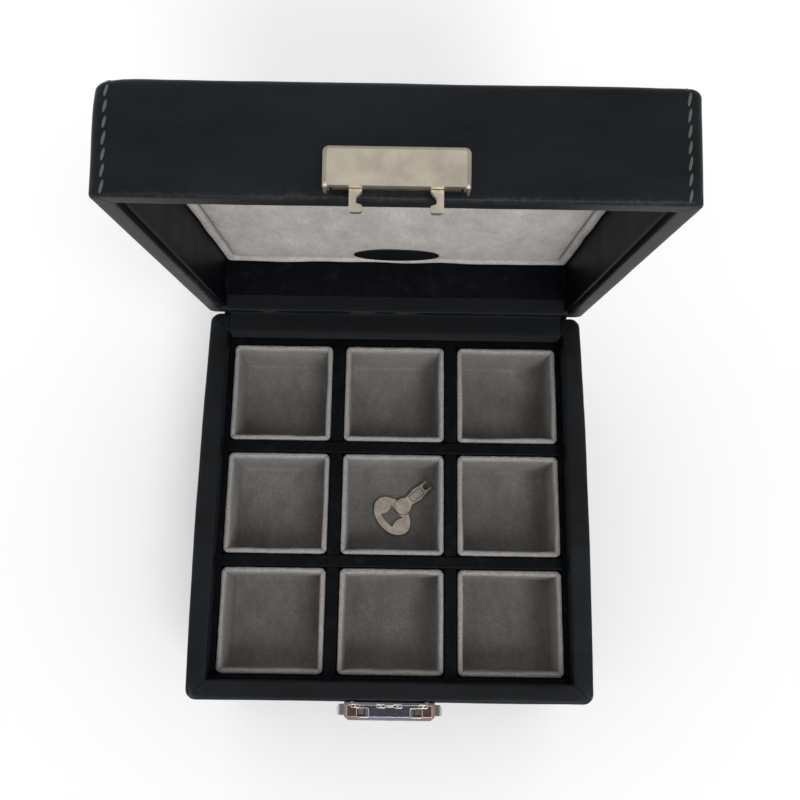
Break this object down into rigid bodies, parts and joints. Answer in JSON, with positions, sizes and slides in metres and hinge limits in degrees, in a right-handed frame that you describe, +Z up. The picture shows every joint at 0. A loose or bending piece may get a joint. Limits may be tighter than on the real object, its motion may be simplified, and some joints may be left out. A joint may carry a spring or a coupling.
{
  "type": "cufflink box with drawer",
  "caption": "Square leather-covered jewellery box: hinged lid with a push-button hasp lock, a divided tray of suede cups, a drawer below and a loose fork key.",
  "frame": {"origin": "centre of the underside of the base", "axes": "+Z up, the lock and the drawer face -Y, +X to the right seen from the front"},
  "size_m": [0.1306, 0.1641, 0.2016],
  "materials": {
    "leather": "satin grain",
    "board": "raw",
    "black_card": "matte",
    "cup_suede": "nap",
    "lid_suede": "nap",
    "felt": "matte",
    "hinge_cloth": "matte",
    "drawer_suede": "nap",
    "label_cloth": "matte",
    "satin_nickel": "satin",
    "polished_nickel": "polished",
    "spring_steel": "satin"
  },
  "bodies": {
    "base": {"base_felt": "felt", "bottom_board": "board", "wall_left": "board", "wall_right": "board", "wall_back": "board", "front_rail": "board", "tray_board": "board", "base_leather": "leather", "tray_lining": "black_card", "lock_back_plate": "polished_nickel", "lock_case": "polished_nickel", "lock_rivets": "polished_nickel", "catch_spring": "spring_steel", "hinge_strip": "hinge_cloth", "hinge_spine": "leather", "divider_long_1": "black_card", "divider_long_2": "black_card", "divider_cross_1": "black_card", "divider_cross_2": "black_card", "cup_front_left": "cup_suede", "cup_front_middle": "cup_suede", "cup_front_right": "cup_suede", "cup_centre_left": "cup_suede", "cup_centre_middle": "cup_suede", "cup_centre_right": "cup_suede", "cup_back_left": "cup_suede", "cup_back_middle": "cup_suede", "cup_back_right": "cup_suede"},
    "lid": {"lid_board": "board", "lid_leather": "leather", "lid_wall_front": "board", "lid_wall_back": "board", "lid_wall_left": "board", "lid_wall_right": "board", "lid_side_lining": "black_card", "lid_pad_border": "lid_suede", "lid_pad": "lid_suede", "lid_label": "label_cloth", "hasp_hooks": "satin_nickel", "hasp_cover": "satin_nickel", "hasp_rivets": "satin_nickel"},
    "drawer": {"drawer_box": "board", "drawer_front": "board", "drawer_front_leather": "leather", "drawer_liner": "drawer_suede", "drawer_knob": "satin_nickel", "knob_screw": "spring_steel"},
    "button_left_body": {"button_left": "polished_nickel"},
    "button_right_body": {"button_right": "polished_nickel"},
    "rotor_body": {"lock_rotor": "polished_nickel"},
    "key_body": {"key": "satin_nickel"}
  },
  "joints": [
    {"name": "lid_hinge", "type": "hinge", "parent": "base", "child": "lid", "pos_m": [0, 0.065, 0.0663], "axis": [-1, 0, 0], "range_deg": [-80.6, 24.4], "deforming": ["hinge_strip", "hinge_spine"]},
    {"name": "drawer_slide", "type": "slide", "parent": "base", "child": "drawer", "axis": [0, -1, 0], "range_m": [0, 0.085]},
    {"name": "button_left_push", "type": "slide", "parent": "base", "child": "button_left_body", "axis": [1, 0, 0], "range_m": [0, 0.0014], "stiffness_N_per_m": 400, "springref_m": -0.001, "deforming": ["catch_spring"]},
    {"name": "button_right_push", "type": "slide", "parent": "base", "child": "button_right_body", "axis": [-1, 0, 0], "range_m": [0, 0.0014], "stiffness_N_per_m": 400, "springref_m": -0.001, "deforming": ["catch_spring"]},
    {"name": "lock_turn", "type": "hinge", "parent": "base", "child": "rotor_body", "pos_m": [0, -0.0702, 0.06], "axis": [0, -1, 0], "range_deg": [0, 90]},
    {"name": "key_lift", "type": "slide", "parent": "base", "child": "key_body", "axis": [0, 0, 1], "range_m": [0, 0.038]}
  ]
}
